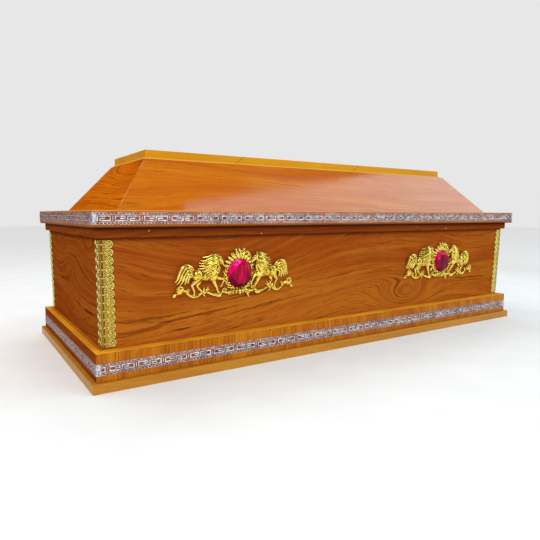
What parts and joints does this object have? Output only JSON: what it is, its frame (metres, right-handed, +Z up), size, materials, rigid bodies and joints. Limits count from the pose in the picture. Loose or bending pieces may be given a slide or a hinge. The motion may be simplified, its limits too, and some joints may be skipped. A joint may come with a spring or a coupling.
{
  "type": "coffin",
  "caption": "Lacquered wooden coffin: flared box on a plinth and slab, lift-off hipped lid with a flat cap, fret bands, gilt corner trims and horse ornaments with cut stones.",
  "frame": {"origin": "centre of the underside of the base slab", "axes": "+X along the length, -Y towards the front long side with the ornaments in view, +Z up"},
  "size_m": [2.2, 0.8888, 0.77],
  "materials": {
    "slab_wood": "glossy lacquered board, golden brown",
    "plinth_wood": "glossy lacquered veneer, upright cross grain",
    "inner_board": "bare pale board",
    "panel_wood": "glossy lacquered wood grain, orange brown with dark veins",
    "moulding_wood": "glossy lacquered red brown strip",
    "rim_wood": "glossy lacquered red brown board",
    "slope_wood": "high gloss lacquer, orange with fine streaks",
    "cap_wood": "satin lacquer, golden yellow",
    "nacre_tape": "pearly fret pattern on dark red brown tape",
    "pale_gilt": "pale gilt pressed strip",
    "polished_gold": "polished gold casting",
    "cut_stone": "faceted magenta stone, foil backed"
  },
  "bodies": {
    "root": {"base_slab": "slab_wood", "plinth_front": "plinth_wood", "plinth_right": "plinth_wood", "plinth_back": "plinth_wood", "plinth_left": "plinth_wood", "floor_board": "inner_board", "side_panel_front": "panel_wood", "end_panel_right": "panel_wood", "side_panel_back": "panel_wood", "end_panel_left": "panel_wood", "moulding_front": "moulding_wood", "moulding_right": "moulding_wood", "moulding_back": "moulding_wood", "moulding_left": "moulding_wood", "lid_rim_front": "rim_wood", "lid_rim_right": "rim_wood", "lid_rim_back": "rim_wood", "lid_rim_left": "rim_wood", "lid_slope_front": "slope_wood", "lid_slope_right": "slope_wood", "lid_slope_back": "slope_wood", "lid_slope_left": "slope_wood", "lid_cap_board": "cap_wood", "lid_fret_front": "nacre_tape", "lid_fret_right": "nacre_tape", "lid_fret_back": "nacre_tape", "lid_fret_left": "nacre_tape", "plinth_fret_front": "nacre_tape", "plinth_fret_right": "nacre_tape", "plinth_fret_back": "nacre_tape", "plinth_fret_left": "nacre_tape", "corner_trim_front_left": "pale_gilt", "corner_trim_front_right": "pale_gilt", "corner_trim_back_left": "pale_gilt", "corner_trim_back_right": "pale_gilt", "ornament_front_left": "polished_gold", "ornament_front_right": "polished_gold", "ornament_back_left": "polished_gold", "ornament_back_right": "polished_gold", "gem_front_left": "cut_stone", "gem_front_right": "cut_stone", "gem_back_left": "cut_stone", "gem_back_right": "cut_stone"}
  },
  "joints": []
}
